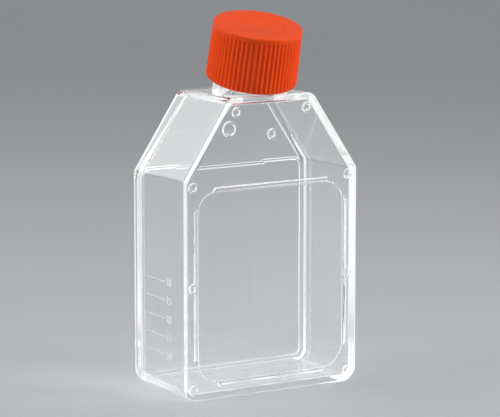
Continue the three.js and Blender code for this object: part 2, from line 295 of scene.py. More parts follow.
def outline(y, inset):
    """The rounded outline as a ring in the plane y, moved in by inset mm."""
    lean = ROOF_LEAN * (back - y) / (back - front)
    ring = []
    for index, (x, z, radius) in enumerate(CORNERS):
        here = Vector((x, z))
        before = Vector(CORNERS[index - 1][:2])
        after = Vector(CORNERS[(index + 1) % len(CORNERS)][:2])
        arrive, leave = (here - before).normalized(), (after - here).normalized()
        turn = arrive.x * leave.y - arrive.y * leave.x
        corner = here + (leave - arrive) * (inset / turn)
        bend = math.asin(turn)
        rounding = max(radius - inset, SMALLEST_RADIUS)
        start = corner - arrive * (rounding * math.tan(bend / 2))
        centre = start + Vector((-arrive.y, arrive.x)) * rounding
        first = math.atan2(start.y - centre.y, start.x - centre.x)
        if z > 0:
            centre.y += lean
        for step in range(CORNER_STEPS + 1):
            angle = first + bend * step / CORNER_STEPS
            ring.append(Vector((
                centre.x + rounding * math.cos(angle), y, centre.y + rounding * math.sin(angle),
            )))
    return ring


# %% A rounded edge
def rounded_edge(y, inset, radius, towards, steps=8):
    """Rings from a face in the plane y round to the side walls; towards is +1 or -1 along Y."""
    quarter = arc((0, 0), radius, 0, 90, steps)
    return [
        outline(y + towards * (radius - across), inset + radius - out) for across, out in quarter
    ]


print("outline has", len(outline(0, 0)), "points")

# %% [markdown]
# ## The body shell
#
# The body is an open box, moulded with its front panel and its side walls in one. It could be
# a solid with its inside cut away, but one skin that runs over the outside, across the rim and
# back down the inside is closed by itself and keeps clean quads. The rim has a small bevel on
# its outer edge, which is half of the fine groove that shows where the two halves are welded.

# %% Skin the shell
WALL = 1.5
EDGE_RADIUS = 0.5
INSIDE_RADIUS = 0.7
INSIDE_STEPS = 6
WELD_GAP = 0.02
WELD_BEVEL = 0.06

shell_rim = weld - WELD_GAP / 2
shell_rings = [
    *rounded_edge(front, 0, EDGE_RADIUS, 1),
    outline(shell_rim - WELD_BEVEL, 0),
    outline(shell_rim, WELD_BEVEL),
    outline(shell_rim, WALL),
    *reversed(rounded_edge(front + WALL, WALL, INSIDE_RADIUS, 1, INSIDE_STEPS)),
]
flask_body = skinned("clear_body", shell_rings)
print("shell faces:", len(flask_body.data.polygons))

# %% [markdown]
# ## The neck and its thread
#
# The neck leans towards the front panel, so that a pipette reaches the whole growth face. It
# is a turned tube, so a profile of radius against height describes it. Below the thread it has
# a slightly thicker collar. The thread is a ridge that climbs one lead in each turn and fades
# into the wall at both ends. A real modeller could use a screw modifier, but a loop over small
# angles lets the ridge's height fade where it starts and stops.

# %% Neck sizes
NECK_WALL = 1.5
SEAL_GAP = 0.3
THREAD_DEPTH = 0.7
THREAD_LEAD = 3.2
THREAD_FOOT = 1.3
THREAD_CREST = 0.5
THREAD_START = 1.3
NECK_TURNS = 1.5
COLLAR_STEP = 0.3
COLLAR_CLEAR = 0.6
ROOT_MARGIN = 0.4
SEAL_DISC = 1
LIP = 0.5
LIP_STEPS = 5

neck_radius = seal_radius + SEAL_GAP - THREAD_DEPTH
neck_top = seal_high - SEAL_DISC - SEAL_GAP
bore = neck_radius - NECK_WALL
collar_radius = neck_radius + COLLAR_STEP
collar_top = cap_bottom - COLLAR_CLEAR
root = WALL + collar_radius * math.tan(neck_cant) + ROOT_MARGIN
print(f"neck radius {neck_radius:.2f}, bore {bore:.2f}, top {neck_top:.2f} mm")

# %% The thread's section and how fast it fades
RIDGE_SUNK = 0.4
FADE_TURN = 1 / 6
FADE_LEAST = 0.02
CREST_DROP = 0.15
CREST_OUTER = 0.06
CREST_INNER = 0.08


# %% A thread ridge that fades at both ends
def thread(name, foot, crest, start, turns, steps=90):
    """A helical ridge from radius foot to radius crest; a crest inside the foot points inwards."""
    out = 1 if crest > foot else -1
    half_foot, half_crest = THREAD_FOOT / 2, THREAD_CREST / 2
    total = round(steps * turns)
    rings = []
    for step in range(total + 1):
        angle = 2 * math.pi * step / steps
        middle = start + THREAD_LEAD * step / steps
        fade = min(1, step / (steps * FADE_TURN), (total - step) / (steps * FADE_TURN))
        peak = foot + (crest - foot) * max(fade, FADE_LEAST)
        shoulder = peak - out * CREST_DROP * fade
        section = [
            (foot - out * RIDGE_SUNK, middle - half_foot),
            (foot, middle - half_foot),
            (shoulder, middle - half_crest - CREST_OUTER),
            (peak, middle - half_crest + CREST_INNER),
            (peak, middle + half_crest - CREST_INNER),
            (shoulder, middle + half_crest + CREST_OUTER),
            (foot, middle + half_foot),
            (foot - out * RIDGE_SUNK, middle + half_foot),
        ]
        rings.append([
            Vector((radius * math.cos(angle), radius * math.sin(angle), rise))
            for radius, rise in section
        ])
    return skinned(name, on_neck(rings))


# %% Profiles of the neck's outside and its bore
NECK_STEPS = 128
COLLAR_SHOULDER = [(0, 0.25), (0.1, 0.08)]
BORE_FLARE = 80

tube_profile = [
    (collar_radius, -root),
    *[(collar_radius - inwards, collar_top - down) for inwards, down in COLLAR_SHOULDER],
    (neck_radius, collar_top),
    *arc((neck_radius - LIP, neck_top - LIP), LIP, 0, 90, LIP_STEPS),
]
bore_lip = arc((bore - LIP, neck_top - LIP), LIP, 0, BORE_FLARE, LIP_STEPS)
bore_profile = [
    (bore, -2 * root),
    *[(2 * bore - r, z) for r, z in bore_lip],
    (bore + LIP, neck_top + LIP),
]

# %% Join the neck to the shell
outer_neck = skinned("outer_neck", on_neck(turned_rings(tube_profile, NECK_STEPS)))
bore_tool = skinned("bore_tool", on_neck(turned_rings(bore_profile, NECK_STEPS)))
room_tool = skinned("room_tool", [
    *rounded_edge(front + WALL, WALL, INSIDE_RADIUS, 1, INSIDE_STEPS),
    outline(weld, WALL),
])
combine(outer_neck, [room_tool], "DIFFERENCE")
ridge_start = cap_bottom + THREAD_START + THREAD_LEAD / 2
ridge = thread("ridge", neck_radius, neck_radius + THREAD_DEPTH, ridge_start, NECK_TURNS)
combine(flask_body, [outer_neck, ridge], "UNION")
combine(flask_body, [bore_tool], "DIFFERENCE")
print("body with neck:", len(flask_body.data.polygons), "faces")

# %% [markdown]
# ## Bars, beads and pips on the front panel
#
# When flasks lie stacked, the front panel of one carries the growth plate of the next. Four
# raised bars keep the stack from sliding. Inside them runs a thin bead with round corners, and
# each bar ends in a short hook that bends in to the bead. The round pips show where ejector pins
# pushed the moulding out of its tool. A bar could be a box with a bevel, but then its ends are
# blunt, so it is a section swept along a line of corners. Its flanks are flat and steep, because
# light inside clear plastic turns back only at a steep face, and that is what makes a real bar
# look white.

# %% Where the sections of a bar stand
END_ANGLES = [math.radians(degrees) for degrees in range(0, 91, 15)]


def stations(corners, half):
    """Where to put sections along the corners: place, sideways direction, and how full it is."""
    path = [Vector(corner) for corner in corners]
    spots = []
    for index, here in enumerate(path):
        ways = []
        if index > 0:
            ways.append((here - path[index - 1]).normalized())
        if index + 1 < len(path):
            ways.append((path[index + 1] - here).normalized())
        heading = sum(ways, Vector((0, 0))).normalized()
        across = Vector((-heading.y, heading.x)) / heading.dot(ways[0])
        if len(ways) == 2:
            spots.append((here, across, 1))
        else:
            inwards = (heading if index == 0 else -heading) * half
            end = [(here + inwards * (1 - math.cos(a)), across, math.sin(a)) for a in END_ANGLES]
            spots += end if index == 0 else reversed(end)
    return spots


# %% A steep-sided bar along a line of corners on a face
SUNK = 0.3
LYING_LAND = 0.5
STANDING_LAND = 0.2
BAR_ROUND = 0.12
END_WIDTH = 0.25
END_RISE = 0.35


def bar(corners, bar_width, rise, y, towards, flat=LYING_LAND):
    """corners are (x, z). The bar stands out of the plane y and rounds down at its ends.

    flat is the flat share of its top; the rest of its width is its two steep flanks."""
    half = bar_width / 2
    rings = []
    for spot, across, grown in stations(corners, half):
        side = half * max(grown, END_WIDTH)
        top = rise * (END_RISE + (1 - END_RISE) * grown)
        land = side * flat
        ease = (side - land) * BAR_ROUND
        section = [
            (-side, -SUNK),
            (side, -SUNK),
            (side, 0),
            (land + ease, top * (1 - BAR_ROUND)),
            (land - ease, top),
            (-land + ease, top),
            (-land - ease, top * (1 - BAR_ROUND)),
            (-side, 0),
        ]
        rings.append([
            Vector((spot.x + across.x * out, y + towards * up, spot.y + across.y * out))
            for out, up in section
        ])
    return skinned("bar", rings)


# %% A thin bead round four corners
BEAD_WIDTH = 0.5
BEAD_RISE = 0.3
BEAD_TURN = 6
ROOF_ANGLES = [math.radians(degrees) for degrees in range(0, 181, 20)]


def bead_ring(corners):
    """A thin bead on the front panel through round corners, each (x, z, radius) of its centre."""
    half = BEAD_WIDTH / 2
    section = [(-half, SUNK), (half, SUNK)] + [
        (half * math.cos(a), -BEAD_RISE * math.sin(a)) for a in ROOF_ANGLES
    ]
    rings = []
    for quarter, (x, z, radius) in enumerate(corners):
        for degrees in range(90 * quarter, 90 * quarter + 91, BEAD_TURN):
            angle = math.radians(degrees)
            arm = Vector((math.cos(angle), 0, math.sin(angle)))
            middle = Vector((x, front, z))
            rings.append([
                middle + arm * (radius + out) + Vector((0, up, 0)) for out, up in section
            ])
    return skinned("bead", rings, loop=True)


# %% Where the bars and the bead run
BAR_INSET = 3.4
BAR_SHOULDER_INSET = 1.65
BAR_RISE = 0.6
BAR_WIDTH = 1
BAR_CORNER = 5
BAR_FOOT = 6.3
BEAD_STEP = 0.9

side = width / 2 - BAR_INSET
low, high = BAR_INSET, SHOULDER_HEIGHT - BAR_SHOULDER_INSET
top_reach = side - BAR_CORNER - BEAD_STEP
foot_reach = side - BAR_FOOT - BEAD_STEP
side_from, side_to = low + BAR_FOOT + BEAD_STEP, high - BAR_CORNER - BEAD_STEP
print(f"side bars from {side_from:.2f} to {side_to:.2f} mm, {2 * side:.1f} mm apart")


# %% Four hooked bars round one bead
def hooked(start, end, inwards):
    """The corners of a bar from start to end whose hooks bend inwards."""
    start, end = Vector(start), Vector(end)
    along = (end - start).normalized() * BEAD_STEP
    bend = Vector(inwards) * BEAD_STEP
    return [start - along + bend, start, end, end + along + bend]


bar_lines = [
    (hooked((-top_reach, high), (top_reach, high), (0, -1)), LYING_LAND),
    (hooked((-foot_reach, low), (foot_reach, low), (0, 1)), LYING_LAND),
    (hooked((-side, side_from), (-side, side_to), (1, 0)), STANDING_LAND),
    (hooked((side, side_from), (side, side_to), (-1, 0)), STANDING_LAND),
]
bars = [bar(line, BAR_WIDTH, BAR_RISE, front, -1, flat) for line, flat in bar_lines]
bead = bead_ring([
    (top_reach, side_to, BAR_CORNER),
    (-top_reach, side_to, BAR_CORNER),
    (-foot_reach, side_from, BAR_FOOT),
    (foot_reach, side_from, BAR_FOOT),
])

# %% Round pips with a dished middle: a rim's section, as depth inwards and rise
PIP_RIM = [
    (0, -SUNK), (0, 0),
    (0.2, 0.49), (0.25, 0.54), (0.32, 0.56),
    (0.44, 0.56), (0.51, 0.54), (0.56, 0.49),
    (0.76, 0.05), (0.82, 0.03),
]
PIP_MIDDLE = (0.05, 0.02)
PIP_STEPS = 32


def pip(x, z, radius):
    profile = [(radius - inwards, rise) for inwards, rise in PIP_RIM] + [PIP_MIDDLE]
    return skinned("pip", [
        [Vector((point.x + x, front - point.z, point.y + z)) for point in ring]
        for ring in turned_rings(profile, PIP_STEPS)
    ])


# %% Nine small pips and a large one
PIP_RADIUS = 1.4
LARGE_PIP_RADIUS = 2.1
PIP_INSET = 2.8
PIP_HEIGHTS = [2.9, 29, SHOULDER_HEIGHT - 0.9]
ROOF_PIP_INSET = 2
ROOF_PIP_DROP = 2.9
MIDDLE_PIP_DROP = 9
LARGE_PIP_DROP = 7

pip_places = [(width / 2 - PIP_INSET, z) for z in PIP_HEIGHTS]
pip_places.append((ROOF_WIDTH / 2 - ROOF_PIP_INSET, height - ROOF_PIP_DROP))
pips = [pip(sign * x, z, PIP_RADIUS) for x, z in pip_places for sign in (-1, 1)]
pips.append(pip(0, height - MIDDLE_PIP_DROP, PIP_RADIUS))
pips.append(pip(-ROOF_WIDTH / 2, height - LARGE_PIP_DROP, LARGE_PIP_RADIUS))
combine(flask_body, [bead] + bars + pips, "UNION")
print("body with bars and pips:", len(flask_body.data.polygons), "faces")

# %% [markdown]
# ## The scale on the side wall
#
# A scale of raised lines on the side wall tells how much medium is inside when the flask
# stands. Each step is 5 ml, and the inside is about 48 mm by 23 mm, so a step takes a little
# over 4.5 mm. A picture of a scale could be laid on the wall as a texture, but lines and plain
# numbers that are joined to it bend the light as real moulded figures do. The numbers are text
# objects turned into meshes.

# %% A raised line on the side wall
SCALE_RISE = 0.09
LINE_FRONT = -3.4
LINE_BACK = 6.4
LINE_SECTION = [(-0.14, SUNK), (0.14, SUNK), (0.12, -0.04), (0, -SCALE_RISE), (-0.12, -0.04)]


def scale_line(z):
    return skinned("scale_line", [
        [Vector((out - width / 2, y, z + up)) for up, out in LINE_SECTION]
        for y in (LINE_FRONT, LINE_BACK)
    ])


# %% A plain number on the side wall
DIGIT_HEIGHT = 2.1
DIGIT_SHARE = 0.7
DIGIT_THICKNESS = 0.2
NUMBER_START = -3.9


def scale_number(text, z):
    letters = bpy.data.curves.new("number", "FONT")
    letters.body = text
    letters.size = DIGIT_HEIGHT * MM / DIGIT_SHARE
    letters.extrude = DIGIT_THICKNESS * MM
    letters.align_x = "LEFT"
    letters.align_y = "CENTER"
    letters.resolution_u = 4
    holder = bpy.data.objects.new("number", letters)
    bpy.context.scene.collection.objects.link(holder)
    graph = bpy.context.evaluated_depsgraph_get()
    mesh = bpy.data.meshes.new_from_object(holder.evaluated_get(graph))
    bpy.data.objects.remove(holder)
    face_x = DIGIT_THICKNESS - width / 2 - SCALE_RISE
    mesh.transform(Matrix((
        (0, 0, -1, face_x * MM),
        (-1, 0, 0, NUMBER_START * MM),
        (0, 1, 0, z * MM),
        (0, 0, 0, 1),
    )))
    piece = bpy.data.objects.new("number", mesh)
    bpy.context.scene.collection.objects.link(piece)
    return facing_out(weld_points(piece))


# %% Five marks, 5 ml apart
SCALE_FIRST = 10.6
SCALE_STEP = 4.72
SCALE_MARKS = 5
FIRST_ML = 10
STEP_ML = 5

marks = []
for index in range(SCALE_MARKS):
    z = SCALE_FIRST + SCALE_STEP * index
    marks += [scale_line(z), scale_number(str(FIRST_ML + STEP_ML * index), z)]
combine(flask_body, marks, "UNION")
weld_points(flask_body)
polish(flask_body)

# %% [markdown]
# ## The growth plate
#
# Cells grow on the inside of this plate. It is a shallow tray, welded to the body, and its
# middle is set back behind a narrow skirt, so that the window never touches a shelf and
# scratches. Above the shoulders the floor leans in towards the neck as a pouring ramp, most
# steeply at its foot. Flat sheets set edge to edge would leave seams, so one tray is filled and
# hollowed. The same curved prism is used twice: once to fill in behind the ramp's face, and
# once to hollow out its back.

# %% Plate sizes and the curved prism
PLATE_FLOOR = 1.3
PLATE_EDGE = 0.5
PLATE_INSIDE = 1.9
PLATE_STEPS = 10
SKIRT_WIDTH = 1.9
SKIRT_HEIGHT = 0.6
RAMP_RISE = 3
RAMP_BOW = 0.47
RAMP_STEPS = 24
OVERCUT = 1

window = back - SKIRT_HEIGHT
plate_inside = window - PLATE_FLOOR
plate_rim = weld + WELD_GAP / 2


def behind_ramp(start):
    """All that lies behind a curved face that leans in from y = start, from the shoulder up."""
    ramp_top = height + ROOF_LEAN
    corners = [(back + OVERCUT, ramp_top), (back + OVERCUT, SHOULDER_HEIGHT)]
    for step in range(RAMP_STEPS + 1):
        climb = step / RAMP_STEPS
        depth = start - RAMP_RISE * climb * (1 + RAMP_BOW * (1 - climb))
        corners.append((depth, SHOULDER_HEIGHT + (ramp_top - SHOULDER_HEIGHT) * climb))
    return skinned("ramp", [[Vector((x, y, z)) for y, z in corners] for x in (-width, width)])


def plate_block(y_from, y_to, inset):
    return skinned("block", [outline(y_from, inset), outline(y_to, inset)])


# %% Build the plate
def plate_outside():
    return skinned("clear_plate", [
        *rounded_edge(back, 0, PLATE_EDGE, -1),
        outline(plate_rim + WELD_BEVEL, 0),
        outline(plate_rim, WELD_BEVEL),
    ])


plate = plate_outside()
plate_room = skinned("plate_room", [
    *rounded_edge(plate_inside, WALL, PLATE_INSIDE, -1, PLATE_STEPS),
    outline(weld - OVERCUT, WALL),
])
combine(plate, [plate_room], "DIFFERENCE")
ramp_fill = combine(behind_ramp(plate_inside), [plate_outside()], "INTERSECT")
combine(plate, [ramp_fill], "UNION")
recess = plate_block(back + OVERCUT, window, SKIRT_WIDTH)
ramp_reach = plate_block(back + OVERCUT, weld, SKIRT_WIDTH)
ramp_back = combine(behind_ramp(window), [ramp_reach], "INTERSECT")
combine(plate, [recess, ramp_back], "DIFFERENCE")
print("plate with ramp and recess:", len(plate.data.polygons), "faces")

# %% Stepped bars at the ramp's foot, with round outer corners
WINDOW_CORNER = 3
WINDOW_STEPS = 8
INTO_SKIRT = 0.05
BAR_JOG = 11.7

skirt_x = width / 2 - SKIRT_WIDTH + BAR_WIDTH / 2 + INTO_SKIRT
corner_centre = (skirt_x - WINDOW_CORNER, SHOULDER_HEIGHT - WINDOW_CORNER)
outer_line = [
    *arc(corner_centre, WINDOW_CORNER, 0, 90, WINDOW_STEPS),
    (BAR_JOG, SHOULDER_HEIGHT),
]
lap_x, lap_z = BAR_JOG + BAR_WIDTH, SHOULDER_HEIGHT - BAR_WIDTH / 2
foot_lines = [
    outer_line,
    [(-x, z) for x, z in outer_line],
    [(-lap_x, lap_z), (lap_x, lap_z)],
]
combine(plate, [bar(line, BAR_WIDTH, SKIRT_HEIGHT, window, 1) for line in foot_lines], "UNION")
weld_points(plate)
polish(plate)

# %% [markdown]
# ## The cap
#
# The cap is one soft polyethylene moulding. Sixty fine ribs give the fingers a grip, a plain
# rim runs round the top, and the top face is dished with a small dimple where the plastic was
# fed in. One skin runs from the middle of the inside, down the bore, round the foot, up over
# the ribs and across the top. Sixty copies of one rib would each have to be joined on, so
# instead every ring has ten points for each rib, and only the ribbed rings use them.

# %% Cap sizes
CAP_TOP = 1.5
RIB_COUNT = 60
RIB_DEPTH = 0.35
RIB_POINTS = 10
DRAFT = 0.35
PLAIN_RIM = 1.3
RIM_ROUND = 0.25
RIM_LAND = 4.2
DISH_DEPTH = 0.35
DIMPLE_RADIUS = 3.2
DIMPLE_DEPTH = 0.2
FOOT_BEVEL = 0.2
RUNNING_GAP = 0.3
CAP_TURNS = 1.25
SEAT_TURNS = 2

cap_height = cap_top - cap_bottom
cap_bore = neck_radius + THREAD_DEPTH + RUNNING_GAP
cap_seat = seal_radius + SEAL_GAP
cap_ceiling = cap_height - CAP_TOP
thread_end = THREAD_START + THREAD_LEAD * SEAT_TURNS
print(f"cap {2 * cap_radius:.1f} mm across, {cap_height:.1f} mm tall, bore {2 * cap_bore:.1f} mm")

# %% Rings with and without ribs
RIB_FULLNESS = 0.7


def rib_ring(radius, rise, z):
    """A ring round the cap: ribs stand out by rise over the round of that radius."""
    ring = []
    for i in range(RIB_COUNT * RIB_POINTS):
        phase = (i % RIB_POINTS) / RIB_POINTS
        wave = 0.5 + 0.5 * math.cos(2 * math.pi * phase)
        reach = radius + rise * wave ** RIB_FULLNESS
        angle = 2 * math.pi * i / (RIB_COUNT * RIB_POINTS)
        ring.append(Vector((reach * math.cos(angle), reach * math.sin(angle), z)))
    return ring


def outside_radius(z):
    """The cap's outer radius, less towards the top, so that it leaves its mould."""
    return cap_radius - DRAFT * z / cap_height


# %% The cap's inside and foot
HUB = 0.5
CEILING_ROUND = 0.6
CEILING_MARGIN = 0.8
SEAT_EASE = 0.3
MOUTH = [(0, 0.5), (0.12, 0.2), (0.35, 0)]
FOOT_SHARE = 0.3

ceiling_centre = (cap_seat - CEILING_ROUND, cap_ceiling - CEILING_ROUND)
foot_radius = outside_radius(0) - RIB_DEPTH
inside_profile = [
    (HUB, cap_ceiling),
    (cap_seat - CEILING_MARGIN, cap_ceiling),
    *arc(ceiling_centre, CEILING_ROUND, 90, 0, steps=5),
    (cap_seat, thread_end + SEAT_EASE),
    (cap_bore, thread_end),
    *[(cap_bore + out, z) for out, z in MOUTH],
    (foot_radius - FOOT_BEVEL, 0),
    (foot_radius - FOOT_BEVEL * FOOT_SHARE, FOOT_BEVEL * FOOT_SHARE),
    (foot_radius, FOOT_BEVEL),
]

# %% The cap's crown: plain rim, land, dish and dimple
RIM_EASE = 0.15
RIM_FLAT = 0.1
LAND_EDGE = 1.2
DISH_EDGE = [(0.8, 0), (0.45, 0.04), (0, DISH_DEPTH)]
DISH_RUN = 0.4
DISH_SAG = 0.02
DIMPLE_EASE = 0.6

rib_top = cap_height - PLAIN_RIM
top_radius = outside_radius(cap_height)
dish = top_radius - RIM_LAND
dish_floor = cap_height - DISH_DEPTH
crown_profile = [
    (top_radius, rib_top + RIM_EASE),
    (top_radius, cap_height - RIM_ROUND - RIM_FLAT),
    *arc((top_radius - RIM_ROUND, cap_height - RIM_ROUND), RIM_ROUND, 0, 90, steps=6),
    (top_radius - LAND_EDGE, cap_height),
    *[(dish + out, cap_height - down) for out, down in DISH_EDGE],
    (dish - DISH_RUN, dish_floor - DISH_SAG),
    (DIMPLE_RADIUS + DIMPLE_EASE, dish_floor - DISH_SAG),
    (DIMPLE_RADIUS, dish_floor - DIMPLE_DEPTH),
    (HUB, dish_floor - DIMPLE_DEPTH),
]

# %% The ribbed wall: how far the ribs stand out at each height
RIB_START = [(0.3, 0.5), (0.45, 0.85), (0.6, 1), (4, 1), (7, 1), (10, 1)]
RIB_END = [(0.5, 1), (0.25, 0.98), (0.05, 0.9)]

rib_levels = RIB_START + [(rib_top - below, rise) for below, rise in RIB_END]
cap_rings = [
    *[rib_ring(radius, 0, z) for radius, z in inside_profile],
    *[rib_ring(outside_radius(z) - RIB_DEPTH, rise * RIB_DEPTH, z) for z, rise in rib_levels],
    *[rib_ring(radius, 0, z) for radius, z in crown_profile],
]

# %% Skin the cap
CAP_SHARP_ANGLE = 50

lifted = [[point + Vector((0, 0, cap_bottom)) for point in ring] for ring in cap_rings]
cap = skinned("screw_cap", on_neck(lifted))
cap_ridge = thread(
    "cap_ridge", cap_bore, neck_radius + RUNNING_GAP, cap_bottom + THREAD_START, CAP_TURNS)
combine(cap, [cap_ridge], "UNION")
weld_points(cap)
polish(cap, CAP_SHARP_ANGLE)

# %% [markdown]
# ## The plug seal
#
# A soft disc with a short hollow plug sits in the top of the cap. It rises with the cap but
# needn't turn, and it closes the bore. It could be cut from a cylinder in several steps, but it
# is a plain turned part, so one profile is enough.

# %% Turn the seal
PLUG_WALL = 1.2
PLUG_EASE = 0.3
SEAL_ROUND = 0.4
DISC_ROUND = 0.2
SEAL_STEPS = 96

plug = bore - SEAL_GAP
plug_inside = plug - PLUG_WALL
seal_foot = seal_high - SEAL_DISC
tip = seal_low + SEAL_ROUND
seal_profile = [
    (HUB, seal_foot),
    (plug_inside - PLUG_EASE, seal_foot),
    (plug_inside, seal_foot - PLUG_EASE),
    (plug_inside, tip),
    *arc((plug_inside + SEAL_ROUND, tip), SEAL_ROUND, 180, 270, steps=4),
    *arc((plug - SEAL_ROUND, tip), SEAL_ROUND, 270, 360, steps=4),
    (plug, seal_foot - DISC_ROUND),
    (plug + DISC_ROUND, seal_foot),
    *arc((seal_radius - DISC_ROUND, seal_foot + DISC_ROUND), DISC_ROUND, 270, 360, steps=3),
    *arc((seal_radius - SEAL_ROUND, seal_high - SEAL_ROUND), SEAL_ROUND, 0, 90, steps=4),
    (HUB, seal_high),
]
seal = skinned("plug_seal_soft", on_neck(turned_rings(seal_profile, SEAL_STEPS)))
polish(seal)

# %% [markdown]
# ## Clear polystyrene
#
# Polystyrene is clear and stiff, and bends light more than window glass or water: its index is
# 1.59. A Glass shader could give that, but Principled BSDF with full transmission looks the same
# and is the one that an exported model keeps. Real mouldings are never perfectly flat, so a slow
# noise tilts the surface a little, and a finer one varies the polish. Where the two mouldings
# are welded, the plastic has melted and set again, so a narrow band at the weld line is frosted
# and uneven. A clear object's shadow would come out black, because a lamp can't be sampled
# through glass, so shadow rays alone pass through a nearly clear Transparent shader.

# %% An empty material and a noise
def new_material(name):
    material = bpy.data.materials.new(name)
    material.use_nodes = True
    nodes = material.node_tree.nodes
    nodes.clear()
    return material, nodes, material.node_tree.links


def noise(nodes, links, scale, detail=3):
    place = nodes.new("ShaderNodeTexCoord")
    texture = nodes.new("ShaderNodeTexNoise")
    texture.inputs["Scale"].default_value = scale
    texture.inputs["Detail"].default_value = detail
    links.new(place.outputs["Object"], texture.inputs["Vector"])
    return texture.outputs["Fac"]


# %% What a noise can drive: a range, a colour or a bump
def between(nodes, links, factor, low, high, start=0, end=1):
    """Maps a factor that runs from start to end onto the range from low to high."""
    ranger = nodes.new("ShaderNodeMapRange")
    ranger.inputs["From Min"].default_value = start
    ranger.inputs["From Max"].default_value = end
    ranger.inputs["To Min"].default_value = low
    ranger.inputs["To Max"].default_value = high
    links.new(factor, ranger.inputs["Value"])
    return ranger.outputs["Result"]


def blend_colours(nodes, links, factor, first, second):
    mix = nodes.new("ShaderNodeMix")
    mix.data_type = "RGBA"
    mix.inputs["A"].default_value = (*first, 1)
    mix.inputs["B"].default_value = (*second, 1)
    links.new(factor, mix.inputs["Factor"])
    return mix.outputs["Result"]


def bump(nodes, links, height, strength, distance):
    node = nodes.new("ShaderNodeBump")
    node.inputs["Strength"].default_value = strength
    node.inputs["Distance"].default_value = distance
    links.new(height, node.inputs["Height"])
    return node


# %% Sums and places
def calculate(nodes, links, operation, *terms):
    """One Math node; each term is a number or an output socket."""
    node = nodes.new("ShaderNodeMath")
    node.operation = operation
    for term, socket in zip(terms, node.inputs):
        if isinstance(term, (int, float)):
            socket.default_value = term
        else:
            links.new(term, socket)
    return node.outputs["Value"]


def place_parts(nodes, links):
    """X, Y and Z of a point in the object's own frame, as the outputs of one node."""
    place = nodes.new("ShaderNodeTexCoord")
    parts = nodes.new("ShaderNodeSeparateXYZ")
    links.new(place.outputs["Object"], parts.inputs["Vector"])
    return parts.outputs


# %% A mask for the weld line
SEAM_REACH = 0.25


def seam_mask(nodes, links):
    """1 in a narrow band at the weld line, 0 elsewhere."""
    depth = place_parts(nodes, links)["Y"]
    return calculate(nodes, links, "COMPARE", depth, weld * MM, SEAM_REACH * MM)


# %% How clear, wavy and frosted it is
POLYSTYRENE_IOR = 1.59
CLEAR_TINTS = (0.97, 0.98, 0.985), (0.99, 0.995, 0.995)
TINT_SCALE = 90
POLISH_SCALE = 300
POLISH_ROUGHNESS = 0.02
WAVE_SCALE = 70
WAVE_HEIGHT = 0.6
LUMP_SCALE = 1400
LUMP_HEIGHT = 0.3
SEAM_ROUGHNESS = 0.12
SHADOW_TINT = (0.86, 0.87, 0.88)
print("clear plastic: index", POLYSTYRENE_IOR, "and roughness up to", POLISH_ROUGHNESS)


# %% The clear plastic
def clear_plastic(name, waviness):
    material, nodes, links = new_material(name)
    output = nodes.new("ShaderNodeOutputMaterial")
    plastic = nodes.new("ShaderNodeBsdfPrincipled")
    plastic.inputs["Transmission Weight"].default_value = 1
    plastic.inputs["IOR"].default_value = POLYSTYRENE_IOR
    tint = blend_colours(nodes, links, noise(nodes, links, TINT_SCALE), *CLEAR_TINTS)
    links.new(tint, plastic.inputs["Base Color"])
    polish_level = between(nodes, links, noise(nodes, links, POLISH_SCALE), 0, POLISH_ROUGHNESS)
    seam = seam_mask(nodes, links)
    frost = calculate(nodes, links, "MULTIPLY_ADD", seam, SEAM_ROUGHNESS, polish_level)
    links.new(frost, plastic.inputs["Roughness"])
    waves = noise(nodes, links, WAVE_SCALE, detail=1)
    slow = bump(nodes, links, waves, waviness, WAVE_HEIGHT * MM)
    lumps = calculate(nodes, links, "MULTIPLY", seam, noise(nodes, links, LUMP_SCALE, detail=4))
    uneven = bump(nodes, links, lumps, 1, LUMP_HEIGHT * MM)
    links.new(slow.outputs["Normal"], uneven.inputs["Normal"])
    links.new(uneven.outputs["Normal"], plastic.inputs["Normal"])
    through = nodes.new("ShaderNodeBsdfTransparent")
    through.inputs["Color"].default_value = (*SHADOW_TINT, 1)
    path = nodes.new("ShaderNodeLightPath")
    choose = nodes.new("ShaderNodeMixShader")
    links.new(path.outputs["Is Shadow Ray"], choose.inputs["Fac"])
    links.new(plastic.outputs["BSDF"], choose.inputs[1])
    links.new(through.outputs["BSDF"], choose.inputs[2])
    links.new(choose.outputs["Shader"], output.inputs["Surface"])
    return material


# %% A wavier body and a flatter plate
BODY_WAVINESS = 0.1
PLATE_WAVINESS = 0.04

flask_body.data.materials.append(clear_plastic("clear_polystyrene_body", BODY_WAVINESS))
plate.data.materials.append(clear_plastic("clear_polystyrene_plate", PLATE_WAVINESS))
print("clear plastics:", flask_body.active_material.name, plate.active_material.name)

# %% [markdown]
# ## Where the two mouldings are one
#
# The weld melts the two rims together, and light crosses it as if it were one piece of plastic.
# The two models are closed bodies that stand a hair apart, so each rim would bend light and
# throw some back, and a false bright line would run round inside the wall. They could be joined
# into one mesh, but then the pieces no longer match the mouldings. So only the two flat rims
# get a material that lets light go straight on.

# %% Fused rims, where light goes straight on
FACE_REACH = 0.002
FUSED_TINTS = (0.995, 0.995, 0.995), (1, 1, 1)


def fused(name):
    """Plastic that meets the same plastic: nothing bends and nothing is reflected."""
    material, nodes, links = new_material(name)
    output = nodes.new("ShaderNodeOutputMaterial")
    inside = nodes.new("ShaderNodeBsdfTransparent")
    tint = blend_colours(nodes, links, noise(nodes, links, TINT_SCALE), *FUSED_TINTS)
    links.new(tint, inside.inputs["Color"])
    links.new(inside.outputs["BSDF"], output.inputs["Surface"])
    return material


welded = fused("fused_polystyrene")
for piece, rim in [(flask_body, shell_rim), (plate, plate_rim)]:
    piece.data.materials.append(welded)
    near = {v.index for v in piece.data.vertices if abs(v.co.y / MM - rim) < FACE_REACH}
    faces = [face for face in piece.data.polygons if near.issuperset(face.vertices)]
    for face in faces:
        face.material_index = 1
    print(f"{piece.name}: {len(faces)} fused faces")

